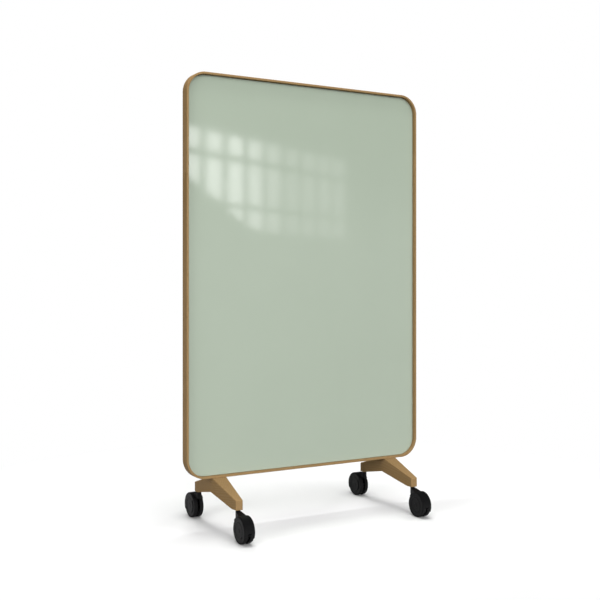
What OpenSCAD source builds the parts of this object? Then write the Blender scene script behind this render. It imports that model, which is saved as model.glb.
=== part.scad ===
// Rolling glass writing board: an oak band frame round two glass panes,
// on two oak wing feet, each with two hooded twin-wheel castors.
// Millimetres. +Z is up and +Y is the rear. The origin lies on the floor,
// under the middle of the board.

/* [Board] */
// Width over the frame
board_w = 1100; // [800:1:1400]
// Height over the frame
board_h = 1594; // [1100:1:1950]
// Depth of the frame, front to back
frame_depth = 43; // [36:0.5:60]
// Thickness of the oak band, as seen from the front
frame_band = 9; // [7.5:0.5:14]
// Outer radius of the frame's corners
corner_r = 81; // [60:1:110]
// Rounding of the band's long edges
band_edge_r = 1.6; // [0.5:0.1:2.4]
// Diameter of the dowels that join band and corners
dowel_d = 4; // [3:0.5:5]
// Length of a dowel
dowel_len = 24; // [16:1:30]
// Distance between the two dowels of a joint
dowel_pitch = 24; // [14:1:26]

/* [Panel] */
// Thickness of each glass pane
glass_t = 4; // [3:0.5:6]
// Thickness of the steel core sheet
core_t = 1.5; // [1:0.1:2.5]
// Thickness of the mounting tape
tape_t = 0.75; // [0.5:0.05:1.5]
// Width of one strip of tape
tape_w = 25; // [15:1:40]
// Strips of tape behind each pane
tape_count = 7; // [4:1:9]
// Distance from the pane's edge to the tape
tape_margin = 45; // [30:1:80]
// Depth of the frame's groove for the core sheet
groove_depth = 4; // [3:0.5:5]

/* [Feet] */
// From the side of the frame to the middle of a foot
foot_inset = 141; // [125:1:200]
// Length of a foot, tip to tip
foot_len = 392; // [330:1:480]
// Height of a foot, castor seat to board
foot_h = 92; // [78:1:115]
// Height of a foot at its tip
foot_tip_h = 38; // [34:1:46]
// Rise of the underside, tip to middle
foot_arch = 35; // [20:1:40]
// Width of a foot in the middle
foot_mid_w = 62; // [56:1:80]
// Width of a foot at its tip
foot_tip_w = 30; // [26:1:40]
// Length of the flat seat for a castor
castor_pad_len = 28; // [26:1:40]
// Width of the rounding on a foot's upper and tip edges
foot_edge = 4; // [2:0.5:5]
// Width of the rounding on a foot's lower edges
foot_low_edge = 2; // [1:0.5:2.5]

/* [Foot bracket] */
// Width of the bracket's base plate
bracket_w = 48; // [42:1:52]
// Depth of the base plate, front to back
bracket_d = 32; // [24:1:34]
// Thickness of the base plate
bracket_t = 5; // [4:0.5:8]
// Width of the tongue between the panes
tongue_w = 44; // [36:1:48]
// Height of the tongue above the frame's underside
tongue_h = 56; // [40:1:90]
// Thread diameter of the foot bolts
bolt_d = 6; // [5:1:8]
// Distance between the two bolts of a foot
bolt_pitch = 28; // [22:1:30]
// Diameter of a bolt's head
bolt_head_d = 10; // [8.5:0.5:13]
// Height of a bolt's head
bolt_head_h = 6; // [5:0.5:8]
// Depth of a bolt's head below the wood
bolt_recess = 5; // [2:0.5:10]
// From the bracket's top down to the end of a bolt
bolt_under = 1; // [0.5:0.1:2]

/* [Castor] */
// Height of the foot above the top of the wheels
castor_rise = 16; // [13:0.5:30]
// How far the swivel axis lies behind the front of the wheels
swivel_set = 1; // [-3:0.5:3]
// From the swivel axis to the tip of the foot
stem_inset = 12.7; // [12:0.1:16]
// Diameter of the swivel neck
neck_d = 19.5; // [17:0.5:24]
// From the foot down to the neck's lower end
neck_len = 31; // [25:0.5:38]
// Chamfer at both ends of the neck
neck_edge = 1.2; // [0.5:0.1:2]
// Wall of the neck under the pintle
neck_floor = 4.8; // [3:0.1:8]
// Diameter of the pintle that carries the swivel
pintle_d = 8; // [6:0.5:10]
// Thickness of the pintle's snap ring
ring_t = 1; // [0.8:0.1:1.5]
// Depth of the snap ring's groove
ring_depth = 0.6; // [0.4:0.1:0.8]
// Diameter of the stem's thread
stem_d = 10; // [8:1:12]
// Length of the thread in the foot
stem_len = 21; // [16:1:28]
// Diameter of the threaded insert
insert_d = 14; // [12:1:18]
// Length of the insert beyond the thread
insert_spare = 1; // [0.5:0.5:3]
// Diameter of the collar between foot and neck
collar_d = 18; // [15:0.5:20]
// Height of the collar
collar_h = 2.2; // [1.5:0.1:3]
// Thickness of the swivel washer
washer_t = 1; // [0.5:0.1:1.5]

/* [Hood] */
// Wall over the treads
hood_wall = 2; // [1.5:0.1:3]
// Wall beside the wheels
hood_side_wall = 1.5; // [1.2:0.1:2.5]
// Width of the hood's side walls, from the rim to the round opening
hood_lip = 19; // [14:0.5:22]
// Rounding of the hood's shoulders
hood_edge_r = 5; // [3:0.5:6]
// Lower end of the hood on the trailing side, degrees from level
hood_low = -26; // [-32:1:-20]
// End of the hood under the neck, degrees from level
hood_high = 140; // [132:1:144]
// Thickness of the web between the wheels
web_t = 8; // [7:0.5:12]
// Lower edge of the web on the trailing side, degrees from level
web_low = 5; // [0:1:12]
// Radius of the axle boss
boss_r = 11; // [9:0.5:14]
// From the axle's line to the upper end of the gusset
gusset_set = 9; // [5:0.5:14]
// Width of the rounding on the gusset's upper edges
gusset_edge = 3; // [1:0.5:4]

/* [Wheels] */
// Diameter over the tread
wheel_d = 100; // [80:1:125]
// Width of one wheel at the tread
wheel_w = 16; // [10:0.5:20]
// Thickness of the soft tread
tread_t = 5; // [3:0.5:7]
// Rounding of the tread's shoulders
tread_edge_r = 2.5; // [1:0.1:3]
// Diameter of the axle
axle_d = 8; // [6:0.5:10]
// Radius of the wheel's hub
hub_r = 9; // [8:0.5:12]
// Thickness of the wheel's disc
disc_t = 2.4; // [2:0.1:4]
// Depth of the wheel's rim under the tread
rim_t = 4; // [3:0.5:6]
// Ribs on the inner side of a wheel
rib_count = 8; // [5:1:12]
// Thickness of a rib
rib_t = 2; // [1.5:0.1:3]
// Radius of the flat cap in the middle of a wheel's face
cap_r = 9; // [7:0.5:11]
// Width of the flat ring round a wheel's face
land_w = 6; // [4:0.5:9]
// Depth of the dish between cap and ring
dish_depth = 1; // [0.5:0.1:1.5]

/* [Brake] */
// Distance of the lever's pivot from the axle, towards the rear
lever_u = 24; // [22:0.5:27]
// Height of the lever's pivot above the axle
lever_v = -6; // [-8:0.5:-4]
// Diameter of the lever's pin
lever_pin_d = 3; // [2:0.5:4]
// Thickness of each of the web's ears beside the lever
ear_t = 1.65; // [1.2:0.05:2]
// Wall of the ears round the lever's hub
ear_wall = 3; // [2:0.5:5]
// Swing of the lever from rest to the brake, degrees
brake_swing = 12; // [8:1:14]
// How far the pedal stands out of the hood
pedal_proud = 4; // [2:0.5:8]
// Chamfer of the pedal's lower edge
pedal_edge = 1; // [0.5:0.1:1.5]

/* [Fits] */
// Radial clearance of a running fit
run_clear = 0.05; // [0.02:0.01:0.1]
// Clearance of a wood or slot joint
joint_clear = 0.1; // [0.05:0.05:0.2]
// Clearance round a bolt in the wood
bolt_clear = 0.2; // [0.1:0.05:0.5]
// Clearance round a bolt's head
head_clear = 0.5; // [0.3:0.1:1]
// Gap between a pane's edge and the band
pane_gap = 0.5; // [0.3:0.1:0.8]
// Gap beside parts that turn
side_gap = 0.7; // [0.5:0.1:1.2]
// Gap between tread and hood
tread_gap = 1; // [0.8:0.1:2]
// Gap between the pedal and each wheel
pedal_gap = 0.6; // [0.5:0.1:1]
// Gap between the pedal and the hood's notch
notch_gap = 1.9; // [1:0.1:3]
// Gap under the swivel washer
swivel_gap = 0.2; // [0.1:0.05:0.4]

/* [Hidden] */
$fn = 96;
over = 1;
// Radius of a rounded edge, as a multiple of the one that would meet both faces without a crease
edge_bulge = 1.25;

LEFT = -1;
RIGHT = 1;
FRONT = -1;
REAR = 1;

wheel_r = wheel_d / 2;
castor_h = wheel_d + castor_rise;
castor_trail = wheel_r - swivel_set;
board_z = castor_h + foot_h;
board_mid = board_z + board_h / 2;
core_gap = core_t + 2 * tape_t;
pane_y = core_gap / 2;
pane_w = board_w - 2 * frame_band - 2 * pane_gap;
pane_h = board_h - 2 * frame_band - 2 * pane_gap;
pane_r = corner_r - frame_band - pane_gap;
core_in = groove_depth - joint_clear;
core_w = board_w - 2 * frame_band + 2 * core_in;
core_h = board_h - 2 * frame_band + 2 * core_in;
core_r = corner_r - frame_band + core_in;
groove_w = core_t + 2 * joint_clear;
tape_len = pane_h - 2 * tape_margin;
tape_step = (pane_w - 2 * tape_margin - tape_w) / (tape_count - 1);

foot_x = board_w / 2 - foot_inset;
foot_half = foot_len / 2;
foot_tip_z = castor_h + foot_tip_h;
foot_mid_z = castor_h + foot_arch;
foot_pad_y = foot_half - castor_pad_len;
stem_y = foot_half - stem_inset;
bolt_seat_z = foot_mid_z + bolt_recess + bolt_head_h;
bolt_end_z = board_z - bolt_under;
socket_d = bolt_head_d / 2;

collar_z = castor_h - collar_h;
washer_z = collar_z - washer_t;
neck_r = neck_d / 2;
neck_top = washer_z - swivel_gap;
neck_low = castor_h - neck_len;
pintle_end = neck_low + neck_floor;
insert_len = stem_len + insert_spare;
ring_z = pintle_end + 2 * ring_t;
ring_out_r = pintle_d / 2 + ring_depth;

hood_in_r = wheel_r + tread_gap;
hood_r = hood_in_r + hood_wall;
hood_side_r = hood_r - hood_lip;
wheel_in = web_t / 2 + side_gap;
wheel_out = wheel_in + wheel_w;
hood_in_w = wheel_out + side_gap;
hood_half_w = hood_in_w + hood_side_wall;
face_x = hood_half_w - run_clear;
face_r = hood_side_r - tread_gap;
hub_x = web_t / 2 + side_gap / 2;
axle_half = wheel_out - disc_t / 2;
rim_r = wheel_r - tread_t;

lever_r = norm([lever_u, lever_v]);
lever_dir = atan2(lever_v, lever_u);
lever_hub_r = 2 * lever_pin_d;
lever_room = lever_hub_r + side_gap;
lever_slot = web_t - 2 * ear_t;
lever_t = lever_slot - side_gap;
ear_r = lever_hub_r + ear_wall;
pedal_w = 2 * (wheel_in - pedal_gap);
pedal_reach = hood_r + pedal_proud;
notch_w = pedal_w + 2 * notch_gap;

CASTORS = [
    ["front_left", LEFT, FRONT],
    ["front_right", RIGHT, FRONT],
    ["rear_left", LEFT, REAR],
    ["rear_right", RIGHT, REAR]
];
CASTOR_NODES = [
    "castor_hood", "axle", "brake_lever", "brake_pin",
    "inner_wheel", "inner_tyre", "outer_wheel", "outer_tyre"
];

oak = "#a98658";
sage_glass = "#aebca9";
black_nylon = "#262626";
black_rubber = "#303030";
zinc_steel = "#b9bcc0";
black_zinc_steel = "#2b2b2d";

// Outline and edge helpers

function unit(v) = v / norm(v);

// A rectangle on the v axis that starts at u = 0, with all corners rounded
module rounded_bar(w, h, r) {
    translate([r, -h / 2]) square([w - 2 * r, h]);
    translate([0, r - h / 2]) square([w, h - 2 * r]);
    for (u = [r, w - r], v = [r - h / 2, h / 2 - r]) translate([u, v]) circle(r);
}

// A sheet standing in the board's plane, from y to y + t
module standing_sheet(w, h, r, y, t) {
    translate([-w / 2, y + t, board_mid]) rotate([90, 0, 0])
        linear_extrude(height = t) rounded_bar(w, h, r);
}

// A channel outline, open at u = u0, with its two far corners rounded
module channel_outline(u0, u1, half_w, r) {
    translate([u0, -half_w]) square([u1 - r - u0, 2 * half_w]);
    translate([u0, r - half_w]) square([u1 - u0, 2 * (half_w - r)]);
    for (v = [r - half_w, half_w - r]) translate([u1 - r, v]) circle(r);
}

// What the rounding of a straight edge takes away: p and q are its ends, a and b the outward
// normals of the faces that meet there, and width runs along each face
module edge_waste(p, q, a, b, width) {
    along = unit(q - p);
    out = unit(a + b);
    side = cross(out, along);
    tilt = acos(a * b) / 2;
    half_w = width * cos(tilt);
    depth = width * sin(tilt);
    r = edge_bulge * width / tan(tilt);
    multmatrix([
        [side.x, out.x, along.x, p.x],
        [side.y, out.y, along.y, p.y],
        [side.z, out.z, along.z, p.z]
    ]) translate([0, 0, -over]) linear_extrude(height = norm(q - p) + 2 * over) difference() {
        polygon([[0, over], [-half_w - over, -depth], [0, -depth - over], [half_w + over, -depth]]);
        translate([0, -depth - sqrt(r * r - half_w * half_w)]) circle(r);
    }
}

// Frame

// Cross-section of the oak band: u points outward, v runs front to back
module band_section() {
    difference() {
        rounded_bar(frame_band, frame_depth, band_edge_r);
        translate([-over, -groove_w / 2]) square([groove_depth + over, groove_w]);
    }
}

module band(length) {
    linear_extrude(height = length, center = true) band_section();
}

// Corner k lies in the board's plane: 0 top right, 1 top left, 2 bottom left, 3 bottom right
module at_corner(k) {
    x = k == 0 || k == 3 ? 1 : -1;
    z = k < 2 ? 1 : -1;
    translate([x * (board_w / 2 - corner_r), 0, board_mid + z * (board_h / 2 - corner_r)])
        rotate([0, -90 * k, 0]) rotate([90, 0, 0]) children();
}

module dowel_set(d, length) {
    for (k = [0:3], end = [0, 90], y = [-dowel_pitch / 2, dowel_pitch / 2])
        at_corner(k) rotate(end) translate([corner_r - frame_band / 2, 0, y])
            rotate([90, 0, 0]) cylinder(d = d, h = length, center = true);
}

module dowel_holes() {
    dowel_set(dowel_d + 2 * joint_clear, dowel_len + 2 * joint_clear);
}

module frame_top_rail() {
    color(oak) difference() {
        translate([0, 0, board_z + board_h - frame_band]) rotate([0, -90, 0]) band(board_w - 2 * corner_r);
        dowel_holes();
    }
}

module frame_bottom_rail() {
    color(oak) difference() {
        translate([0, 0, board_z + frame_band]) rotate([0, 90, 0]) band(board_w - 2 * corner_r);
        dowel_holes();
        tongue_slots(joint_clear);
    }
}

module frame_stile(side) {
    color(oak) difference() {
        translate([side * (board_w / 2 - frame_band), 0, board_mid])
            rotate(side == LEFT ? 180 : 0) band(board_h - 2 * corner_r);
        dowel_holes();
    }
}

module frame_corner(k) {
    color(oak) difference() {
        at_corner(k) rotate_extrude(angle = 90) translate([corner_r - frame_band, 0]) band_section();
        dowel_holes();
    }
}

module corner_dowels() {
    color("burlywood") dowel_set(dowel_d, dowel_len);
}

// Panel

module front_glass() {
    color(sage_glass) standing_sheet(pane_w, pane_h, pane_r, -pane_y - glass_t, glass_t);
}

module rear_glass() {
    color(sage_glass) standing_sheet(pane_w, pane_h, pane_r, pane_y, glass_t);
}

module core_sheet() {
    color("gainsboro") difference() {
        standing_sheet(core_w, core_h, core_r, -core_t / 2, core_t);
        tongue_slots(joint_clear);
    }
}

module mounting_tape(y) {
    color("dimgray") difference() {
        for (i = [0:tape_count - 1])
            translate([(i - (tape_count - 1) / 2) * tape_step - tape_w / 2, y, board_mid - tape_len / 2])
                cube([tape_w, tape_t, tape_len]);
        tongue_slots(joint_clear);
    }
}

// Feet and their brackets

module at_feet() {
    for (side = [LEFT, RIGHT]) translate([side * foot_x, 0, 0]) children();
}

// The room that the tongues take in the bottom rail and between the panes
module tongue_slots(clear) {
    at_feet() translate([-tongue_w / 2 - clear, -core_gap / 2 - clear, board_z - over])
        cube([tongue_w + 2 * clear, core_gap + 2 * clear, tongue_h + over + clear]);
}

module at_bolts() {
    for (side = [-1, 1]) translate([side * bolt_pitch / 2, 0, 0]) children();
}

module foot_side_outline() {
    polygon([
        [-foot_half, castor_h],
        [-foot_pad_y, castor_h],
        [0, foot_mid_z],
        [foot_pad_y, castor_h],
        [foot_half, castor_h],
        [foot_half, foot_tip_z],
        [frame_depth / 2, board_z],
        [-frame_depth / 2, board_z],
        [-foot_half, foot_tip_z]
    ]);
}

module foot_plan_outline() {
    polygon([
        [-foot_mid_w / 2, 0],
        [-foot_tip_w / 2, -foot_half],
        [foot_tip_w / 2, -foot_half],
        [foot_mid_w / 2, 0],
        [foot_tip_w / 2, foot_half],
        [-foot_tip_w / 2, foot_half]
    ]);
}

// Half the width of a foot at a distance y from its middle
function foot_half_w(y) = (foot_mid_w - (foot_mid_w - foot_tip_w) * y / foot_half) / 2;

// What the rounding of a foot's edges takes away; along the lower edges it runs out on the arch
module foot_edges_waste() {
    flank = unit([foot_half, (foot_mid_w - foot_tip_w) / 2, 0]);
    slope = unit([0, board_z - foot_tip_z, foot_half - frame_depth / 2]);
    tip = [0, 1, 0];
    seat = [0, 0, -1];
    shoulder = [foot_half_w(frame_depth / 2), frame_depth / 2, board_z];
    tip_top = [foot_tip_w / 2, foot_half, foot_tip_z];
    tip_low = [foot_tip_w / 2, foot_half, castor_h];
    run_out_y = foot_pad_y * (1 - foot_low_edge / foot_arch);
    run_out = [foot_half_w(run_out_y), run_out_y, castor_h];
    for (y = [0, 1]) mirror([0, y, 0]) {
        edge_waste([-tip_top.x, tip_top.y, tip_top.z], tip_top, slope, tip, foot_edge);
        edge_waste([-tip_low.x, tip_low.y, tip_low.z], tip_low, tip, seat, foot_low_edge);
        for (x = [0, 1]) mirror([x, 0, 0]) {
            edge_waste(shoulder, tip_top, flank, slope, foot_edge);
            edge_waste(tip_top, tip_low, flank, tip, foot_edge);
            edge_waste(tip_low, run_out, flank, seat, foot_low_edge);
        }
    }
}

module foot(side) {
    color(oak) translate([side * foot_x, 0, 0]) difference() {
        intersection() {
            rotate([90, 0, 90]) linear_extrude(height = foot_mid_w + over, center = true)
                foot_side_outline();
            linear_extrude(height = board_z + over) foot_plan_outline();
        }
        foot_edges_waste();
        translate([-bracket_w / 2 - joint_clear, -bracket_d / 2 - joint_clear, board_z - bracket_t])
            cube([bracket_w + 2 * joint_clear, bracket_d + 2 * joint_clear, bracket_t + over]);
        at_bolts() {
            cylinder(d = bolt_d + 2 * bolt_clear, h = board_z);
            cylinder(d = bolt_head_d + 2 * head_clear, h = bolt_seat_z);
        }
        for (end = [FRONT, REAR]) translate([0, end * stem_y, castor_h - over])
            cylinder(d = insert_d + 2 * joint_clear, h = insert_len + over);
    }
}

module foot_bracket(side) {
    color(zinc_steel) translate([side * foot_x, 0, 0]) difference() {
        union() {
            translate([-bracket_w / 2, -bracket_d / 2, board_z - bracket_t])
                cube([bracket_w, bracket_d, bracket_t]);
            translate([-tongue_w / 2, -core_gap / 2, board_z - bracket_t])
                cube([tongue_w, core_gap, tongue_h + bracket_t]);
        }
        at_bolts() translate([0, 0, board_z - bracket_t - over])
            cylinder(d = bolt_d + 2 * run_clear, h = bracket_t + over);
    }
}

module foot_bolts() {
    color(zinc_steel) at_feet() at_bolts() difference() {
        union() {
            translate([0, 0, bolt_seat_z - bolt_head_h]) cylinder(d = bolt_head_d, h = bolt_head_h);
            translate([0, 0, bolt_seat_z]) cylinder(d = bolt_d, h = bolt_end_z - bolt_seat_z);
        }
        translate([0, 0, bolt_seat_z - bolt_head_h - over])
            cylinder(d = socket_d, h = bolt_head_h / 2 + over, $fn = 6);
    }
}

// Castor mounting

// A castor's own frame: swivel axis on z, axle along x, trailing side towards +y
module at_castor(castor) {
    translate([castor[1] * foot_x, castor[2] * stem_y, 0])
        rotate(castor[2] == FRONT ? 180 : 0) children();
}

module at_castors() {
    for (castor = CASTORS) at_castor(castor) children();
}

// A ring of square section about the swivel axis
module swivel_ring(r_in, r_out, z, h) {
    rotate_extrude() translate([r_in, z]) square([r_out - r_in, h]);
}

module castor_inserts() {
    color("goldenrod") at_castors() translate([0, 0, castor_h]) difference() {
        cylinder(d = insert_d, h = insert_len);
        translate([0, 0, -over]) cylinder(d = stem_d + 2 * run_clear, h = insert_len + 2 * over);
    }
}

module castor_stems() {
    color(black_zinc_steel) at_castors() difference() {
        union() {
            translate([0, 0, castor_h]) cylinder(d = stem_d, h = stem_len);
            translate([0, 0, collar_z]) cylinder(d = collar_d, h = collar_h);
            translate([0, 0, pintle_end]) cylinder(d = pintle_d, h = collar_z - pintle_end);
        }
        swivel_ring(pintle_d / 2 - ring_depth, pintle_d / 2 + over, ring_z, ring_t);
    }
}

module castor_washers() {
    color(black_nylon) at_castors()
        swivel_ring(pintle_d / 2 + run_clear, collar_d / 2, washer_z, washer_t);
}

module castor_snap_rings() {
    color("silver") at_castors()
        swivel_ring(pintle_d / 2 - ring_depth, ring_out_r, ring_z, ring_t);
}

// Castor hood

// The axle's frame: u towards the trailing side, v up, extrusions across the wheels
module about_axle() {
    translate([0, castor_trail, wheel_r]) rotate([90, 0, 90]) children();
}

module hood_section() {
    difference() {
        channel_outline(hood_side_r, hood_r, hood_half_w, hood_edge_r);
        channel_outline(hood_side_r - over, hood_in_r, hood_in_w, hood_edge_r - hood_side_wall);
    }
}

module hood_shell() {
    about_axle() difference() {
        rotate(hood_low) rotate_extrude(angle = hood_high - hood_low) hood_section();
        linear_extrude(height = notch_w, center = true)
            translate([hood_side_r, -hood_r]) square([hood_r, hood_r + lever_v / 2]);
    }
}

// The gusset slopes from the neck to the hood's crown and widens towards it
module hood_gusset() {
    low_z = neck_low + neck_edge;
    high_z = neck_top - neck_edge;
    crown_y = castor_trail - gusset_set;
    crown_z = wheel_r + sqrt(hood_r * hood_r - gusset_set * gusset_set);
    crown_w = hood_half_w - hood_edge_r;
    spread = (crown_w - neck_r) / castor_trail;
    flank = unit([1, -spread, 0]);
    slope = unit([0, high_z - crown_z, crown_y - neck_r]);
    start = [neck_r, 0, high_z];
    brow = [neck_r + spread * neck_r, neck_r, high_z];
    crown = [neck_r + spread * crown_y, crown_y, crown_z];
    difference() {
        intersection() {
            rotate([90, 0, 90]) linear_extrude(height = 2 * hood_half_w, center = true) polygon([
                [0, low_z],
                [0, high_z],
                [neck_r, high_z],
                [crown_y, crown_z],
                [crown_y, wheel_r + hood_r / 2]
            ]);
            linear_extrude(height = castor_h) polygon([
                [-neck_r, 0],
                [neck_r, 0],
                [crown_w, castor_trail],
                [-crown_w, castor_trail]
            ]);
        }
        for (x = [0, 1]) mirror([x, 0, 0]) {
            edge_waste(start, brow, flank, [0, 0, 1], gusset_edge);
            edge_waste(brow, crown, flank, slope, gusset_edge);
        }
    }
}

module hood_neck() {
    difference() {
        union() {
            rotate_extrude() polygon([
                [0, neck_low],
                [neck_r - neck_edge, neck_low],
                [neck_r, neck_low + neck_edge],
                [neck_r, neck_top - neck_edge],
                [neck_r - neck_edge, neck_top],
                [0, neck_top]
            ]);
            hood_gusset();
        }
        about_axle() cylinder(r = hood_in_r, h = 2 * hood_half_w, center = true);
    }
}

// The web between the wheels, with the axle boss and the two ears for the lever
module hood_web() {
    web_angles = [for (i = [0:3]) web_low + i * (hood_high - web_low) / 3];
    about_axle() difference() {
        linear_extrude(height = web_t, center = true) {
            intersection() {
                circle(hood_in_r + hood_wall / 2);
                polygon(concat([[0, 0]], [for (a = web_angles) 2 * hood_r * [cos(a), sin(a)]]));
            }
            circle(boss_r);
            rotate(lever_dir) translate([0, -ear_r]) square([lever_r, 2 * ear_r]);
            translate([lever_u, lever_v]) circle(ear_r);
        }
        // Room for the lever's hub and for the swing of its arm
        linear_extrude(height = lever_slot, center = true) translate([lever_u, lever_v]) {
            circle(lever_room + joint_clear);
            for (a = [0, -brake_swing]) rotate(a) translate([0, -lever_room])
                square([hood_r, 2 * lever_room]);
        }
    }
}

module castor_hood() {
    color(black_nylon) difference() {
        union() {
            hood_shell();
            hood_neck();
            hood_web();
        }
        translate([0, 0, pintle_end - over]) cylinder(d = pintle_d + 2 * run_clear, h = castor_h);
        swivel_ring(pintle_d / 2 - over, ring_out_r + side_gap, ring_z - ring_t / 2, 2 * ring_t);
        about_axle() cylinder(d = axle_d, h = 2 * hood_half_w, center = true);
        about_axle() translate([lever_u, lever_v]) cylinder(d = lever_pin_d, h = 2 * web_t, center = true);
    }
}

module axle() {
    color(zinc_steel) about_axle() cylinder(d = axle_d, h = 2 * axle_half, center = true);
}

// Wheels

// side is the wheel's side of the web, in the castor's own frame
module on_axle(side) {
    about_axle() mirror([0, 0, side < 0 ? 1 : 0]) children();
}

module wheel_section() {
    bore_r = axle_d / 2 + run_clear;
    disc_x = wheel_out - disc_t;
    land_r = face_r - land_w;
    dish_x = face_x - dish_depth;
    polygon([
        [0, axle_half + run_clear],
        [0, face_x],
        [cap_r - dish_depth, face_x],
        [cap_r, dish_x],
        [land_r - dish_depth, dish_x],
        [land_r, face_x],
        [face_r - disc_t / 2, face_x],
        [face_r, face_x - disc_t / 2],
        [face_r, wheel_out - disc_t / 4],
        [rim_r, wheel_out - disc_t / 4],
        [rim_r, wheel_in + disc_t / 4],
        [rim_r - rim_t, wheel_in + disc_t / 4],
        [rim_r - rim_t, disc_x],
        [hub_r, disc_x],
        [hub_r, hub_x],
        [bore_r, hub_x],
        [bore_r, axle_half + run_clear]
    ]);
}

module wheel(side) {
    rib_x = wheel_in + disc_t;
    color(black_nylon) on_axle(side) {
        rotate_extrude() wheel_section();
        for (i = [0:rib_count - 1]) rotate(i * 360 / rib_count)
            translate([hub_r - over, -rib_t / 2, rib_x])
                cube([rim_r - rim_t - hub_r + 2 * over, rib_t, wheel_out - disc_t / 2 - rib_x]);
    }
}

module tyre(side) {
    color(black_rubber) on_axle(side) rotate_extrude() translate([0, wheel_in + wheel_w / 2])
        channel_outline(rim_r, wheel_r, wheel_w / 2, tread_edge_r);
}

// Brake

module brake_lever() {
    pedal_in = wheel_r - tread_t;
    pedal_h = 2 * lever_hub_r - lever_pin_d;
    color(black_nylon) about_axle() difference() {
        union() {
            translate([lever_u, lever_v]) {
                cylinder(r = lever_hub_r, h = lever_t, center = true);
                linear_extrude(height = lever_t, center = true) translate([0, -lever_hub_r])
                    square([pedal_in - lever_u + over, pedal_h]);
            }
            linear_extrude(height = pedal_w, center = true) polygon([
                [pedal_in, lever_v - lever_hub_r],
                [pedal_reach - pedal_edge, lever_v - lever_hub_r],
                [pedal_reach, lever_v - lever_hub_r + pedal_edge],
                [pedal_reach, lever_v - lever_hub_r + pedal_h / 2],
                [pedal_in, lever_v - lever_hub_r + pedal_h]
            ]);
        }
        translate([lever_u, lever_v])
            cylinder(d = lever_pin_d + 2 * run_clear, h = 2 * web_t, center = true);
    }
}

module brake_pin() {
    color(zinc_steel) about_axle() translate([lever_u, lever_v])
        cylinder(d = lever_pin_d, h = web_t, center = true);
}

frame_top_rail();
frame_bottom_rail();
frame_stile(LEFT);  // frame_left_stile
frame_stile(RIGHT);  // frame_right_stile
frame_corner(0);  // frame_top_right_corner
frame_corner(1);  // frame_top_left_corner
frame_corner(2);  // frame_bottom_left_corner
frame_corner(3);  // frame_bottom_right_corner
corner_dowels();
front_glass();
rear_glass();
core_sheet();
mounting_tape(-core_t / 2 - tape_t);  // front_mounting_tape
mounting_tape(core_t / 2);  // rear_mounting_tape
foot(LEFT);  // left_foot
foot(RIGHT);  // right_foot
foot_bracket(LEFT);  // left_foot_bracket
foot_bracket(RIGHT);  // right_foot_bracket
foot_bolts();
castor_inserts();
castor_stems();
castor_washers();
castor_snap_rings();
for (castor = CASTORS) {
    name = castor[0];
    // The inner wheel is the one nearer the middle of the board
    inner = -castor[1] * castor[2];
    at_castor(castor) castor_hood();
    at_castor(castor) axle();
    at_castor(castor) brake_lever();
    at_castor(castor) brake_pin();
    at_castor(castor) wheel(inner);
    at_castor(castor) tyre(inner);
    at_castor(castor) wheel(-inner);
    at_castor(castor) tyre(-inner);
}
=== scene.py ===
"""Looks of a rolling glass writing board in an oak frame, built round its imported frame."""

import logging
import math
from dataclasses import dataclass
from enum import Enum
from typing import Any

import bmesh
import bpy
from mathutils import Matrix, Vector


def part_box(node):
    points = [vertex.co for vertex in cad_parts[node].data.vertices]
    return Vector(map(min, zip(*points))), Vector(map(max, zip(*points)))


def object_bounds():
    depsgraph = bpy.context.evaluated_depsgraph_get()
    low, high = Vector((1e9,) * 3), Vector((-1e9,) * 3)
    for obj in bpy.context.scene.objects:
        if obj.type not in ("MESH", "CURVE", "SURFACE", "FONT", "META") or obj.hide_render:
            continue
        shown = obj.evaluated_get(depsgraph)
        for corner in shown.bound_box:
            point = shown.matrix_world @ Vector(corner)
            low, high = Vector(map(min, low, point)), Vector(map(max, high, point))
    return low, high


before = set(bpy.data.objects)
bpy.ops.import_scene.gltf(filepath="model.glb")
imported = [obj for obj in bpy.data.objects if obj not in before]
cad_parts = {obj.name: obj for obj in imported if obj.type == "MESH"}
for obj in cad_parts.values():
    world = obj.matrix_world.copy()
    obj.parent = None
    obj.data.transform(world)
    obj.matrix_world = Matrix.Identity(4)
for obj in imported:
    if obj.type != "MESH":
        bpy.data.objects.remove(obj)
cad_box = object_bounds()

LOG = logging.getLogger("writing_board")
MM = 0.001
IMAGE_SIZE = 600
BOARD_MIDDLE = (cad_box[0] + cad_box[1]) / 2
CASTOR_NAMES = ("front_left", "front_right", "rear_left", "rear_right")

# A noise texture stays mostly between these values
NOISE_LOW = 0.3
NOISE_HIGH = 0.7

# Corners of a mesh that are closer than this are one corner
WELD_MM = 0.002
# Flat steps across a rounding
BEVEL_STEPS = 3
# Edges that turn by more degrees than this are softened
SHARP_ANGLE = 35.0
# How much large faces steer the shading of the roundings beside them: 50 is neutral and 100 the most
LARGE_FACE_PULL = 60

Point = tuple[float, float, float]
Span = tuple[float, float]


def linear(colour: str) -> tuple[float, float, float, float]:
    """Turn an sRGB hex colour into linear light.

    Args:
        colour: Six hex digits after a hash sign.

    Returns:
        Linear red, green, blue and an alpha of 1.
    """
    parts = [int(colour[i : i + 2], 16) / 255 for i in (1, 3, 5)]
    light = [c / 12.92 if c <= 0.04045 else ((c + 0.055) / 1.055) ** 2.4 for c in parts]
    return (light[0], light[1], light[2], 1.0)


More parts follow.
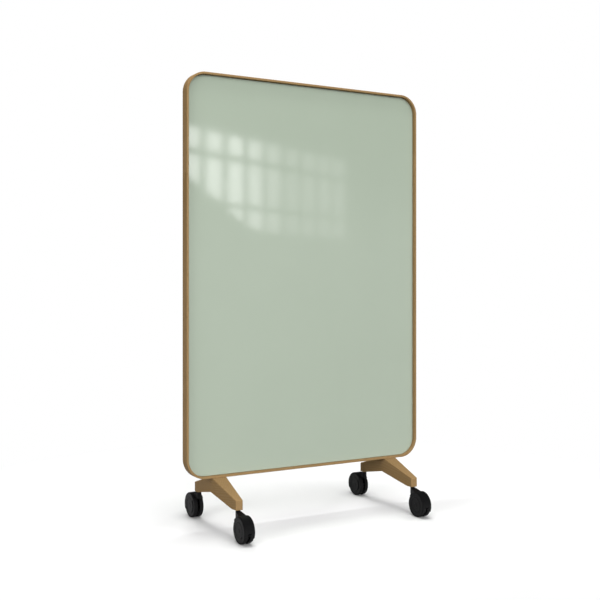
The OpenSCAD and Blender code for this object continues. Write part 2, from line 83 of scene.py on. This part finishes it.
# A Mix node takes its share at input 0, numbers at 2 and 3 and colours at 6 and 7.
# Its mixed colour leaves at output 2.
# A Map Range node takes its value at input 0, the span it comes from at 1 and 2 and its new span at 3 and 4.
def add(
    tree: bpy.types.NodeTree,
    kind: str,
    inputs: dict[Any, Any] | None = None,
    **settings: Any,
) -> bpy.types.Node:
    """Add a node with its settings, input values and links.

    Args:
        tree: The node tree to add to.
        kind: The node's type name.
        inputs: Input name or number to a value, or to the socket that feeds it.
        **settings: Properties of the node itself.

    Returns:
        The new node.
    """
    node = tree.nodes.new(kind)
    for name, value in settings.items():
        setattr(node, name, value)
    for name, value in (inputs or {}).items():
        socket = node.inputs[name]
        if isinstance(value, bpy.types.NodeSocket):
            tree.links.new(value, socket)
        else:
            socket.default_value = value
    return node


def empty_material(name: str) -> bpy.types.Material:
    """Make a material with an empty node tree.

    Args:
        name: The material's name.

    Returns:
        The new material.
    """
    material = bpy.data.materials.new(name)
    material.use_nodes = True
    material.node_tree.nodes.clear()
    return material


class Grain(Enum):
    """Which way the fibres of a piece of timber run.

    A value lists the axes as across, across, along. A bend has none, because its fibres follow the curve.
    """

    RAIL = (1, 2, 0)
    FOOT = (0, 2, 1)
    STILE = (0, 1, 2)
    BEND = ()


@dataclass(frozen=True)
class Finish:
    """A named surface finish, which ends every material the same way."""

    name: str

    def coat(self, tree: bpy.types.NodeTree, inputs: dict[str, Any]) -> None:
        """End a material with a Principled shader.

        Args:
            tree: The material's node tree.
            inputs: The shader's input names, with a value or the socket that feeds each.
        """
        shader = add(tree, "ShaderNodeBsdfPrincipled", inputs)
        add(tree, "ShaderNodeOutputMaterial", {"Surface": shader.outputs[0]})


@dataclass(frozen=True)
class Timber(Finish):
    """Solid timber, sanded smooth: pale rings, darker latewood and short open pores along the fibres."""

    pale: str = "#a58861"
    deep: str = "#896d44"
    pore: str = "#62482c"
    plank_mm: float = 3000.0
    pith_mm: Span = (110.0, 45.0)
    ring_mm: float = 4.5
    wander_mm: float = 28.0
    wander_pitch_mm: float = 90.0
    latewood_power: float = 1.7
    fibre_mm: float = 1.2
    fibre_share: float = 0.5
    stretch: float = 28.0
    pore_mm: float = 0.7
    pore_cut: Span = (0.60, 0.70)
    pore_depth: Span = (0.85, 0.15)
    earlywood_end: float = 0.6
    # Painted light: how much paler the faces that look along the fibres come out, and the facings over which
    # it turns on
    end_painted_light: float = 1.06
    painted_light_turn: Span = (0.5, 0.95)
    roughness: Span = (0.50, 0.64)
    specular: float = 0.05
    relief_mm: float = 0.06
    relief_strength: float = 0.5

    def build(self, grain: Grain, bend_centre: Vector | None = None) -> bpy.types.Material:
        """Build the timber for one direction of grain.

        Args:
            grain: The way the fibres run.
            bend_centre: Centre of the bend, for a corner whose fibres follow it.

        Returns:
            The finished material.
        """
        material = empty_material(f"{self.name}_{grain.name.lower()}")
        tree = material.node_tree
        plank = self.lay_plank(tree, grain, bend_centre)
        lengthways = (1.0, 1.0, 1.0 / self.stretch)
        fibres = add(tree, "ShaderNodeVectorMath", {0: plank, 1: lengthways}, operation="MULTIPLY").outputs[0]
        latewood = self.grow_rings(tree, plank, fibres)
        pores = self.open_pores(tree, fibres, latewood)
        fibre = add(
            tree,
            "ShaderNodeTexNoise",
            {"Vector": fibres, "Scale": 1 / (self.fibre_mm * MM), "Detail": 4.0, "Roughness": 0.6},
        ).outputs[0]
        tone = add(tree, "ShaderNodeMix", {0: self.fibre_share, 2: latewood, 3: fibre}).outputs[0]
        wood = add(
            tree,
            "ShaderNodeMix",
            {0: tone, 6: linear(self.pale), 7: linear(self.deep)},
            data_type="RGBA",
        ).outputs[2]
        wood = add(
            tree,
            "ShaderNodeMix",
            {0: pores, 6: wood, 7: linear(self.pore)},
            data_type="RGBA",
        ).outputs[2]
        # Painted light: faces that look along the fibres come out paler. A bend's ends are hidden in its
        # joints, so it gets none
        if bend_centre is None:
            wood = self.painted_light_ends(tree, wood, grain.value[2])
        sheen = add(
            tree,
            "ShaderNodeMapRange",
            {0: fibre, 1: NOISE_LOW, 2: NOISE_HIGH, 3: self.roughness[0], 4: self.roughness[1]},
        ).outputs[0]
        relief = add(tree, "ShaderNodeMath", {0: fibre, 1: pores}, operation="SUBTRACT").outputs[0]
        bump = add(
            tree,
            "ShaderNodeBump",
            {"Height": relief, "Strength": self.relief_strength, "Distance": self.relief_mm * MM},
        ).outputs[0]
        self.coat(
            tree,
            {"Base Color": wood, "Roughness": sheen, "Normal": bump, "Specular IOR Level": self.specular},
        )
        return material

    def lay_plank(
        self,
        tree: bpy.types.NodeTree,
        grain: Grain,
        bend_centre: Vector | None,
    ) -> bpy.types.NodeSocket:
        """Find where in a plank each point of a piece lies.

        Args:
            tree: The material's node tree.
            grain: The way the fibres run.
            bend_centre: Centre of the bend, for a corner whose fibres follow it.

        Returns:
            The place in the plank, as across, across and along, in metres.
        """
        place = add(tree, "ShaderNodeTexCoord").outputs["Object"]
        if bend_centre is None:
            axes = add(tree, "ShaderNodeSeparateXYZ", {0: place}).outputs
            across, depth, along = (axes[i] for i in grain.value)
        else:
            place = add(
                tree,
                "ShaderNodeVectorMath",
                {0: place, 1: bend_centre},
                operation="SUBTRACT",
            ).outputs[0]
            axes = add(tree, "ShaderNodeSeparateXYZ", {0: place}).outputs
            flat = add(tree, "ShaderNodeCombineXYZ", {0: axes[0], 2: axes[2]}).outputs[0]
            across = add(tree, "ShaderNodeVectorMath", {0: flat}, operation="LENGTH").outputs["Value"]
            turn = add(tree, "ShaderNodeMath", {0: axes[2], 1: axes[0]}, operation="ARCTAN2").outputs[0]
            along = add(tree, "ShaderNodeMath", {0: turn, 1: across}, operation="MULTIPLY").outputs[0]
            depth = axes[1]
        # Each piece is cut from another part of the plank
        piece = add(tree, "ShaderNodeObjectInfo").outputs["Random"]
        plank = self.plank_mm * MM
        shift = add(tree, "ShaderNodeMath", {0: piece, 1: plank}, operation="MULTIPLY").outputs[0]
        cut = add(tree, "ShaderNodeMath", {0: along, 1: shift}, operation="ADD").outputs[0]
        return add(tree, "ShaderNodeCombineXYZ", {0: across, 1: depth, 2: cut}).outputs[0]

    def grow_rings(
        self,
        tree: bpy.types.NodeTree,
        plank: bpy.types.NodeSocket,
        fibres: bpy.types.NodeSocket,
    ) -> bpy.types.NodeSocket:
        """Draw the year rings round a pith that lies outside the piece.

        Args:
            tree: The material's node tree.
            plank: The place in the plank.
            fibres: The same place, squeezed along the fibres.

        Returns:
            A socket that rises from 0 at the start of a year to 1 in its latewood.
        """
        wander = add(
            tree,
            "ShaderNodeTexNoise",
            {"Vector": fibres, "Scale": 1 / (self.wander_pitch_mm * MM), "Detail": 2.0},
        ).outputs[0]
        pith = (self.pith_mm[0] * MM, self.pith_mm[1] * MM, 0.0)
        level = (1.0, 1.0, 0.0)
        arm = add(tree, "ShaderNodeVectorMath", {0: plank, 1: pith}, operation="ADD").outputs[0]
        arm = add(tree, "ShaderNodeVectorMath", {0: arm, 1: level}, operation="MULTIPLY").outputs[0]
        reach = add(tree, "ShaderNodeVectorMath", {0: arm}, operation="LENGTH").outputs["Value"]
        reach = add(
            tree,
            "ShaderNodeMath",
            {0: wander, 1: self.wander_mm * MM, 2: reach},
            operation="MULTIPLY_ADD",
        ).outputs[0]
        ring = add(tree, "ShaderNodeMath", {0: reach, 1: self.ring_mm * MM}, operation="DIVIDE").outputs[0]
        ring = add(tree, "ShaderNodeMath", {0: ring}, operation="FRACT").outputs[0]
        return add(tree, "ShaderNodeMath", {0: ring, 1: self.latewood_power}, operation="POWER").outputs[0]

    def open_pores(
        self,
        tree: bpy.types.NodeTree,
        fibres: bpy.types.NodeSocket,
        latewood: bpy.types.NodeSocket,
    ) -> bpy.types.NodeSocket:
        """Open the pores, most of them in the earlywood.

        Args:
            tree: The material's node tree.
            fibres: The place in the plank, squeezed along the fibres.
            latewood: How far the year has gone.

        Returns:
            A socket that is 0 on solid wood and larger in a pore.
        """
        specks = add(
            tree,
            "ShaderNodeTexNoise",
            {"Vector": fibres, "Scale": 1 / (self.pore_mm * MM), "Detail": 1.0},
        ).outputs[0]
        pores = add(
            tree,
            "ShaderNodeMapRange",
            {0: specks, 1: self.pore_cut[0], 2: self.pore_cut[1]},
        ).outputs[0]
        early = add(
            tree,
            "ShaderNodeMapRange",
            {0: latewood, 2: self.earlywood_end, 3: self.pore_depth[0], 4: self.pore_depth[1]},
        ).outputs[0]
        return add(tree, "ShaderNodeMath", {0: pores, 1: early}, operation="MULTIPLY").outputs[0]

    def painted_light_ends(
        self,
        tree: bpy.types.NodeTree,
        wood: bpy.types.NodeSocket,
        along: int,
    ) -> bpy.types.NodeSocket:
        """Paint light on the ends: faces that look along the fibres come out a little paler than the long
        sides.

        Args:
            tree: The material's node tree.
            wood: The colour of the long sides.
            along: The axis that the fibres run along.

        Returns:
            The colour with painted light on its ends.
        """
        normal = add(tree, "ShaderNodeNewGeometry").outputs["Normal"]
        facing = add(tree, "ShaderNodeSeparateXYZ", {0: normal}).outputs[along]
        facing = add(tree, "ShaderNodeMath", {0: facing}, operation="ABSOLUTE").outputs[0]
        shade = add(
            tree,
            "ShaderNodeMapRange",
            {0: facing, 1: self.painted_light_turn[0], 2: self.painted_light_turn[1], 3: 1.0, 4: self.end_painted_light},
        ).outputs[0]
        return add(tree, "ShaderNodeVectorMath", {0: wood, "Scale": shade}, operation="SCALE").outputs[0]


@dataclass(frozen=True)
class BackPaintedGlass(Finish):
    """Toughened float glass, painted on its back: an even colour under a clear, slightly rolled gloss."""

    tint: str = "#aab6a5"
    shade: str = "#a6b2a1"
    cloud_mm: float = 260.0
    roll_mm: float = 180.0
    roll_relief_mm: float = 0.02
    wipe_mm: float = 60.0
    wipe_stretch: Point = (0.35, 1.0, 1.0)
    roughness: Span = (0.06, 0.075)
    ior: float = 1.52

    def build(self) -> bpy.types.Material:
        """Build the glass.

        Returns:
            The finished material.
        """
        material = empty_material(self.name)
        tree = material.node_tree
        place = add(tree, "ShaderNodeTexCoord").outputs["Object"]
        cloud = add(
            tree,
            "ShaderNodeTexNoise",
            {"Vector": place, "Scale": 1 / (self.cloud_mm * MM), "Detail": 2.0},
        ).outputs[0]
        paint = add(
            tree,
            "ShaderNodeMix",
            {0: cloud, 6: linear(self.tint), 7: linear(self.shade)},
            data_type="RGBA",
        ).outputs[2]
        # A cloth leaves faint wide strokes that only the gloss shows
        stroke = add(
            tree,
            "ShaderNodeVectorMath",
            {0: place, 1: self.wipe_stretch},
            operation="MULTIPLY",
        ).outputs[0]
        wipe = add(
            tree,
            "ShaderNodeTexNoise",
            {"Vector": stroke, "Scale": 1 / (self.wipe_mm * MM), "Detail": 3.0},
        ).outputs[0]
        gloss = add(
            tree,
            "ShaderNodeMapRange",
            {0: wipe, 1: NOISE_LOW, 2: NOISE_HIGH, 3: self.roughness[0], 4: self.roughness[1]},
        ).outputs[0]
        roll = add(
            tree,
            "ShaderNodeTexNoise",
            {"Vector": place, "Scale": 1 / (self.roll_mm * MM), "Detail": 0.0},
        ).outputs[0]
        bump = add(
            tree,
            "ShaderNodeBump",
            {"Height": roll, "Strength": 1.0, "Distance": self.roll_relief_mm * MM},
        ).outputs[0]
        self.coat(tree, {"Base Color": paint, "Roughness": gloss, "Normal": bump, "IOR": self.ior})
        return material


@dataclass(frozen=True)
class Moulded(Finish):
    """A moulded, cast or foamed plastic: two close tones, a fine grain from the mould and a soft sheen."""

    tone: str = "#0d0d0e"
    wear: str = "#141415"
    grain_mm: float = 1.4
    cloud_mm: float = 30.0
    roughness: Span = (0.40, 0.52)
    specular: float = 0.1
    relief_mm: float = 0.03
    relief_strength: float = 0.6

    def build(self) -> bpy.types.Material:
        """Build the plastic.

        Returns:
            The finished material.
        """
        material = empty_material(self.name)
        tree = material.node_tree
        place = add(tree, "ShaderNodeTexCoord").outputs["Object"]
        cloud = add(
            tree,
            "ShaderNodeTexNoise",
            {"Vector": place, "Scale": 1 / (self.cloud_mm * MM), "Detail": 3.0},
        ).outputs[0]
        # The real grain is about a third as wide: it is drawn coarser so that it shows
        grain = add(
            tree,
            "ShaderNodeTexNoise",
            {"Vector": place, "Scale": 1 / (self.grain_mm * MM), "Detail": 2.0},
        ).outputs[0]
        colour = add(
            tree,
            "ShaderNodeMix",
            {0: cloud, 6: linear(self.tone), 7: linear(self.wear)},
            data_type="RGBA",
        ).outputs[2]
        sheen = add(
            tree,
            "ShaderNodeMapRange",
            {0: grain, 1: NOISE_LOW, 2: NOISE_HIGH, 3: self.roughness[0], 4: self.roughness[1]},
        ).outputs[0]
        bump = add(
            tree,
            "ShaderNodeBump",
            {"Height": grain, "Strength": self.relief_strength, "Distance": self.relief_mm * MM},
        ).outputs[0]
        self.coat(
            tree,
            {"Base Color": colour, "Roughness": sheen, "Normal": bump, "Specular IOR Level": self.specular},
        )
        return material


@dataclass(frozen=True)
class WorkedMetal(Finish):
    """A plated, primed or turned metal: a faint cloudy bloom and fine tool marks in the sheen."""

    tone: str = "#b9bcc0"
    bloom: str = "#a4a8ae"
    bloom_mm: float = 9.0
    mark_mm: float = 0.8
    roughness: Span = (0.24, 0.40)
    metallic: float = 1.0

    def build(self) -> bpy.types.Material:
        """Build the metal.

        Returns:
            The finished material.
        """
        material = empty_material(self.name)
        tree = material.node_tree
        place = add(tree, "ShaderNodeTexCoord").outputs["Object"]
        bloom = add(
            tree,
            "ShaderNodeTexNoise",
            {"Vector": place, "Scale": 1 / (self.bloom_mm * MM), "Detail": 4.0},
        ).outputs[0]
        marks = add(
            tree,
            "ShaderNodeTexNoise",
            {"Vector": place, "Scale": 1 / (self.mark_mm * MM), "Detail": 1.0},
        ).outputs[0]
        colour = add(
            tree,
            "ShaderNodeMix",
            {0: bloom, 6: linear(self.tone), 7: linear(self.bloom)},
            data_type="RGBA",
        ).outputs[2]
        sheen = add(
            tree,
            "ShaderNodeMapRange",
            {0: marks, 1: NOISE_LOW, 2: NOISE_HIGH, 3: self.roughness[0], 4: self.roughness[1]},
        ).outputs[0]
        self.coat(tree, {"Base Color": colour, "Roughness": sheen, "Metallic": self.metallic})
        return material


# Oak under matt lacquer: a warm light brown, rings and pores that show close up, and hardly any gloss
OAK = Timber("oak_matt_lacquer")
# Beech without lacquer: paler and more even than the oak
BEECH = Timber(
    "beech_bare",
    pale="#cdaa7d",
    deep="#b98f60",
    pore="#a67d50",
    ring_mm=2.5,
    relief_mm=0.03,
)
# Glass with sage paint behind it: an even soft green under a clear mirror gloss
GLASS = BackPaintedGlass("glass_back_painted_sage")
# Sheet steel under primer: a dull off-white with no metal to be seen
PRIMED_STEEL = WorkedMetal(
    "sheet_steel_primed",
    tone="#d8d8d5",
    bloom="#cfcfcb",
    roughness=(0.5, 0.6),
    metallic=0.0,
)
# Closed-cell foam: dark grey and quite dull
FOAM_TAPE = Moulded(
    "foam_tape_closed_cell",
    tone="#4a4a4a",
    wear="#565656",
    grain_mm=0.8,
    roughness=(0.8, 0.9),
)
# Steel under bright zinc: a cool silver with a cloudy bloom
ZINC = WorkedMetal("steel_zinc_plated")
# Steel under black zinc: nearly black, with a little of the metal's shine left
BLACK_ZINC = WorkedMetal("steel_black_zinc_plated", tone="#2b2b2d", bloom="#222224", roughness=(0.34, 0.48))
# Oiled spring steel: a darker grey than the zinc
SPRING_STEEL = WorkedMetal("spring_steel_oiled", tone="#83868b", bloom="#6d7075")
# Turned brass: a warm yellow with fine tool marks
BRASS = WorkedMetal("brass_turned", tone="#c2a15a", bloom="#a98a4a")
# Moulded acetal: black and a little smoother than the nylon
ACETAL = Moulded("acetal_black_moulded", tone="#161617", wear="#1d1d1e", roughness=(0.35, 0.45))
# Moulded nylon with glass fibre: deep black with the fine grain of a spark-eroded mould
NYLON = Moulded("nylon_glass_filled_moulded")
# Cast polyurethane: a dull black, a touch greyer than the nylon
POLYURETHANE = Moulded(
    "polyurethane_cast_tread",
    tone="#121213",
    wear="#1a1a1a",
    roughness=(0.5, 0.62),
    grain_mm=2.0,
)


def dress(node: str, material: bpy.types.Material, bevel_mm: float = 0.0) -> None:
    """Give a CAD node its material and, where asked, softened edges.

    Args:
        node: The node's name.
        material: Its finish.
        bevel_mm: Width of the rounding on its sharp edges, or 0 for none.
    """
    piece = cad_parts[node]
    for slot in piece.material_slots:
        slot.material = material
    if bevel_mm:
        weld = piece.modifiers.new("weld", "WELD")
        weld.merge_threshold = WELD_MM * MM
        bevel = piece.modifiers.new("soft_edges", "BEVEL")
        bevel.width = bevel_mm * MM
        bevel.segments = BEVEL_STEPS
        bevel.limit_method = "ANGLE"
        bevel.angle_limit = math.radians(SHARP_ANGLE)
        bevel.use_clamp_overlap = True
        normals = piece.modifiers.new("even_shading", "WEIGHTED_NORMAL")
        normals.weight = LARGE_FACE_PULL
    LOG.info("%s: %s", node, material.name)


@dataclass
class OakFrame:
    """The oak band round the board: two rails, two stiles, four bends and their dowels."""

    edge_mm: float = 0.3

    def build(self) -> None:
        """Dress every piece of the frame with its own direction of grain."""
        rail = OAK.build(Grain.RAIL)
        stile = OAK.build(Grain.STILE)
        for node in ("frame_top_rail", "frame_bottom_rail"):
            dress(node, rail, self.edge_mm)
        for node in ("frame_left_stile", "frame_right_stile"):
            dress(node, stile, self.edge_mm)
        for level in ("top", "bottom"):
            for side in ("left", "right"):
                node = f"frame_{level}_{side}_corner"
                dress(node, OAK.build(Grain.BEND, self.bend_centre(node)), self.edge_mm)
        dress("corner_dowels", BEECH.build(Grain.STILE))

    def bend_centre(self, node: str) -> Vector:
        """Find the centre of a corner's bend: the corner of its box nearest the board's middle.

        Args:
            node: The corner's name.

        Returns:
            The centre, in metres.
        """
        low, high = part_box(node)
        x = high.x if high.x < BOARD_MIDDLE.x else low.x
        z = high.z if high.z < BOARD_MIDDLE.z else low.z
        return Vector((x, 0.0, z))


@dataclass
class Panel:
    """The two panes with the core sheet and the tape between them."""

    arris_mm: float = 0.5

    def build(self) -> None:
        """Dress the panes and what lies between them."""
        glass = GLASS.build()
        tape = FOAM_TAPE.build()
        for side in ("front", "rear"):
            dress(f"{side}_glass", glass, self.arris_mm)
            dress(f"{side}_mounting_tape", tape)
        dress("core_sheet", PRIMED_STEEL.build())


@dataclass
class Feet:
    """The two oak feet with their brackets and bolts."""

    edge_mm: float = 0.8
    bracket_edge_mm: float = 0.4
    bolt_edge_mm: float = 0.3

    def build(self) -> None:
        """Dress the feet and the steel that holds them."""
        oak = OAK.build(Grain.FOOT)
        zinc = ZINC.build()
        for side in ("left", "right"):
            dress(f"{side}_foot", oak, self.edge_mm)
            dress(f"{side}_foot_bracket", zinc, self.bracket_edge_mm)
        dress("foot_bolts", zinc, self.bolt_edge_mm)


@dataclass
class CastorFittings:
    """What holds the castors in the feet: inserts, stems, washers and snap rings."""

    edge_mm: float = 0.3

    def build(self) -> None:
        """Dress the fittings."""
        dress("castor_inserts", BRASS.build())
        dress("castor_stems", BLACK_ZINC.build(), self.edge_mm)
        dress("castor_washers", ACETAL.build())
        dress("castor_snap_rings", SPRING_STEEL.build())


@dataclass
class Castor:
    """One hooded twin-wheel castor with its brake."""

    name: str
    nylon: bpy.types.Material
    tread: bpy.types.Material
    zinc: bpy.types.Material
    edge_mm: float = 0.5

    def build(self) -> None:
        """Dress the castor's pieces."""
        dress(f"{self.name}_castor_hood", self.nylon, self.edge_mm)
        dress(f"{self.name}_brake_lever", self.nylon, self.edge_mm)
        dress(f"{self.name}_axle", self.zinc)
        dress(f"{self.name}_brake_pin", self.zinc)
        for wheel in ("inner", "outer"):
            dress(f"{self.name}_{wheel}_wheel", self.nylon, self.edge_mm)
            dress(f"{self.name}_{wheel}_tyre", self.tread)


def sheet_mesh(name: str, sheets: list[list[Point]]) -> bpy.types.Object:
    """Make flat sheets for the set.

    Args:
        name: The object's name.
        sheets: The corners of each sheet in order, in metres.

    Returns:
        The new object, marked as no part of the board.
    """
    mesh = bpy.data.meshes.new(name)
    work = bmesh.new()
    for corners in sheets:
        work.faces.new([work.verts.new(corner) for corner in corners])
    work.to_mesh(mesh)
    work.free()
    sheet = bpy.data.objects.new(name, mesh)
    bpy.context.scene.collection.objects.link(sheet)
    return sheet


def background_rays(tree: bpy.types.NodeTree) -> bpy.types.NodeSocket:
    """Tell the rays that see the background from those that only carry light.

    Args:
        tree: The node tree to add to.

    Returns:
        A socket that is 1 for camera, glossy and transmitted rays.
    """
    path = add(tree, "ShaderNodeLightPath").outputs
    seen = path["Is Camera Ray"]
    for ray in ("Is Glossy Ray", "Is Transmission Ray"):
        seen = add(tree, "ShaderNodeMath", {0: seen, 1: path[ray]}, operation="MAXIMUM").outputs[0]
    return seen


@dataclass
class WindowLight:
    """A paned window to the right of the camera, which the glass mirrors. Lengths are in metres.

    Its foot runs from near towards far. Its lower edge is cut off along a slope, and it dims along its run.
    """

    near: Span = (0.74, -3.06)
    far: Span = (3.05, -4.36)
    columns: int = 9
    pitch: float = 0.288
    bar: float = 0.085
    rows: tuple[Span, ...] = ((1.39, 1.555), (1.60, 1.925), (1.98, 2.13))
    sill: float = 1.77
    sill_fall: float = 0.42
    strength: Span = (7.4, 2.4)
    fade: Span = (0.7, 1.4)

    def build(self) -> None:
        """Make the window as glowing panes that only reflections and light see."""
        panes = self.cut_panes()
        window = sheet_mesh("window_light", panes)
        window.location = (self.near[0], self.near[1], 0.0)
        window.rotation_euler.z = math.atan2(self.far[1] - self.near[1], self.far[0] - self.near[0])
        window.visible_camera = False
        material = empty_material("window_daylight")
        tree = material.node_tree
        place = add(tree, "ShaderNodeTexCoord").outputs["Object"]
        along = add(tree, "ShaderNodeSeparateXYZ", {0: place}).outputs[0]
        glow = add(
            tree,
            "ShaderNodeMapRange",
            {0: along, 1: self.fade[0], 2: self.fade[1], 3: self.strength[0], 4: self.strength[1]},
        ).outputs[0]
        light = add(tree, "ShaderNodeEmission", {"Strength": glow}).outputs[0]
        add(tree, "ShaderNodeOutputMaterial", {"Surface": light})
        window.data.materials.append(material)
        LOG.info("window_light: %d panes", len(panes))

    def cut_panes(self) -> list[list[Point]]:
        """Cut the panes between the bars, down to the sloping lower edge.

        Returns:
            The corners of each pane, along the window's own run.
        """
        panes: list[list[Point]] = []
        for column in range(self.columns):
            left = column * self.pitch - self.bar / 2
            right = left + self.pitch - self.bar
            for low, high in self.rows:
                low_left, low_right = (max(low, self.sill - self.sill_fall * x) for x in (left, right))
                if high > low_left:
                    foot = [(left, 0.0, low_left), (right, 0.0, low_right)]
                    head = [(right, 0.0, high), (left, 0.0, high)]
                    panes.append(foot + head)
        return panes


@dataclass(frozen=True)
class Lamp:
    """A soft lamp, aimed at the board's middle or hung level over it. Lengths are in metres."""

    name: str
    place: Point
    size: Span
    watts: float
    hangs_level: bool = False

    def build(self) -> None:
        """Hang the lamp, out of sight of reflections."""
        light = bpy.data.lights.new(self.name, "AREA")
        light.shape = "RECTANGLE"
        light.size, light.size_y = self.size
        light.energy = self.watts
        holder = bpy.data.objects.new(self.name, light)
        holder.visible_glossy = False
        bpy.context.scene.collection.objects.link(holder)
        holder.location = self.place
        if not self.hangs_level:
            aim = BOARD_MIDDLE - Vector(self.place)
            holder.rotation_euler = aim.to_track_quat("-Z", "Y").to_euler()


@dataclass(frozen=True)
class SkyGlow:
    """A soft patch of light in the surround: where it lies, how tightly it is drawn in and how bright."""

    axis: Point
    power: float
    strength: float


@dataclass
class Studio:
    """The white floor, the soft light round the board and the camera. Lengths are in metres."""

    floor_half: float = 40.0
    floor_white: str = "#ececec"
    floor_bounce: str = "#303030"
    # Distances from the floor's middle between which the paper turns plain white
    floor_far: Span = (0.9, 1.9)
    # Painted contact shade on the paper: how far it reaches and how dark it gets
    contact_reach: float = 0.08
    contact_shade: str = "#b4b4b4"
    dome: float = 0.02
    glows: tuple[SkyGlow, ...] = (
        SkyGlow((0.0, -0.68, 0.73), 1.0, 0.22),
        SkyGlow((0.0, -0.97, 0.24), 8.0, 5.2),
    )
    # Upward parts of a reflected ray's direction between which the white walls turn into the dim ceiling
    ceiling_height: Span = (0.03, 0.16)
    ceiling_shade: float = 0.05
    lamps: tuple[Lamp, ...] = (
        Lamp("rear_softbox", (1.2, 6.0, 1.9), (3.0, 3.0), 310.0),
        Lamp("left_softbox", (-5.5, -2.0, 1.6), (2.5, 2.5), 130.0),
        Lamp("right_softbox", (5.5, 2.0, 1.6), (2.5, 2.5), 112.0),
        Lamp("front_ceiling_strip", (-0.2, -1.05, 6.0), (2.4, 0.9), 84.0, hangs_level=True),
        Lamp("rear_ceiling_strip", (-0.2, 0.41, 6.0), (2.4, 0.5), 128.0, hangs_level=True),
    )
    # Solved from straight edges in the photograph, in metres, degrees and pixels
    camera_place: Point = (-1.9724, -3.3945, 0.9853)
    camera_yaw: float = -29.73
    focal_px: float = 940.08
    horizon_px: float = 280.46

    def build(self) -> None:
        """Make the set, the lamps and the camera."""
        self.build_floor()
        self.build_world()
        for lamp in self.lamps:
            lamp.build()
        self.build_camera()
        bpy.context.scene.view_settings.view_transform = "Standard"

    def build_floor(self) -> None:
        """Lay a floor that is white to the eye, keeps the shadow and bounces little light."""
        half = self.floor_half
        corners = [(-half, -half, 0.0), (half, -half, 0.0), (half, half, 0.0), (-half, half, 0.0)]
        floor = sheet_mesh("floor", [corners])
        material = empty_material("paper_white_matt")
        tree = material.node_tree
        seen = background_rays(tree)
        colour = add(
            tree,
            "ShaderNodeMix",
            {0: seen, 6: linear(self.floor_bounce), 7: linear(self.floor_white)},
            data_type="RGBA",
        ).outputs[2]
        # Painted contact shade: the paper's colour darkens close under the wheels
        near = add(tree, "ShaderNodeAmbientOcclusion", {"Distance": self.contact_reach}).outputs["AO"]
        colour = add(
            tree,
            "ShaderNodeMix",
            {0: near, 6: linear(self.contact_shade), 7: colour},
            data_type="RGBA",
        ).outputs[2]
        paper = add(tree, "ShaderNodeBsdfDiffuse", {"Color": colour}).outputs[0]
        # Far out it turns into the plain white of the surround, without pools of light under the lamps
        place = add(tree, "ShaderNodeTexCoord").outputs["Object"]
        away = add(tree, "ShaderNodeVectorMath", {0: place}, operation="LENGTH").outputs["Value"]
        far = add(
            tree,
            "ShaderNodeMapRange",
            {0: away, 1: self.floor_far[0], 2: self.floor_far[1]},
        ).outputs[0]
        plain = add(tree, "ShaderNodeMath", {0: seen, 1: far}, operation="MULTIPLY").outputs[0]
        white = add(tree, "ShaderNodeEmission").outputs[0]
        whole = add(tree, "ShaderNodeMixShader", {0: plain, 1: paper, 2: white}).outputs[0]
        add(tree, "ShaderNodeOutputMaterial", {"Surface": whole})
        floor.data.materials.append(material)

    def build_world(self) -> None:
        """Surround the board with soft light, white where the camera or a reflection sees it."""
        world = bpy.data.worlds.new("white_surround")
        world.use_nodes = True
        bpy.context.scene.world = world
        tree = world.node_tree
        tree.nodes.clear()
        seen = background_rays(tree)
        way = add(tree, "ShaderNodeTexCoord").outputs["Generated"]
        dome: float | bpy.types.NodeSocket = self.dome
        for glow in self.glows:
            facing = add(
                tree,
                "ShaderNodeVectorMath",
                {0: way, 1: Vector(glow.axis).normalized()},
                operation="DOT_PRODUCT",
            ).outputs["Value"]
            facing = add(tree, "ShaderNodeMath", {0: facing, 1: 0.0}, operation="MAXIMUM").outputs[0]
            patch = add(tree, "ShaderNodeMath", {0: facing, 1: glow.power}, operation="POWER").outputs[0]
            dome = add(
                tree,
                "ShaderNodeMath",
                {0: patch, 1: glow.strength, 2: dome},
                operation="MULTIPLY_ADD",
            ).outputs[0]
        # Reflections meet a dimmer ceiling above the white walls
        rise = add(tree, "ShaderNodeSeparateXYZ", {0: way}).outputs[2]
        walls = add(
            tree,
            "ShaderNodeMapRange",
            {0: rise, 1: self.ceiling_height[0], 2: self.ceiling_height[1], 3: 1.0, 4: self.ceiling_shade},
        ).outputs[0]
        eye = add(tree, "ShaderNodeLightPath").outputs["Is Camera Ray"]
        white = add(tree, "ShaderNodeMath", {0: eye, 1: walls}, operation="MAXIMUM").outputs[0]
        level = add(tree, "ShaderNodeMix", {0: seen, 2: dome, 3: white}).outputs[0]
        sky = add(tree, "ShaderNodeBackground", {"Color": linear("#ffffff"), "Strength": level}).outputs[0]
        add(tree, "ShaderNodeOutputWorld", {"Surface": sky})

    def build_camera(self) -> None:
        """Stand the level camera where the photograph was taken from."""
        lens = bpy.data.cameras.new("camera")
        lens.sensor_fit = "HORIZONTAL"
        lens.lens = self.focal_px / IMAGE_SIZE * lens.sensor_width
        lens.shift_y = (self.horizon_px - IMAGE_SIZE / 2) / IMAGE_SIZE
        camera = bpy.data.objects.new("camera", lens)
        bpy.context.scene.collection.objects.link(camera)
        camera.location = self.camera_place
        camera.rotation_euler = (math.radians(90), 0.0, math.radians(self.camera_yaw))
        bpy.context.scene.camera = camera


def main() -> None:
    """Build the set and dress every sub-assembly of the board in order."""
    logging.basicConfig(level=logging.INFO)
    Studio().build()
    WindowLight().build()
    OakFrame().build()
    Panel().build()
    Feet().build()
    CastorFittings().build()
    nylon, tread, zinc = NYLON.build(), POLYURETHANE.build(), ZINC.build()
    for name in CASTOR_NAMES:
        Castor(name, nylon, tread, zinc).build()


if __name__ == "__main__":
    main()
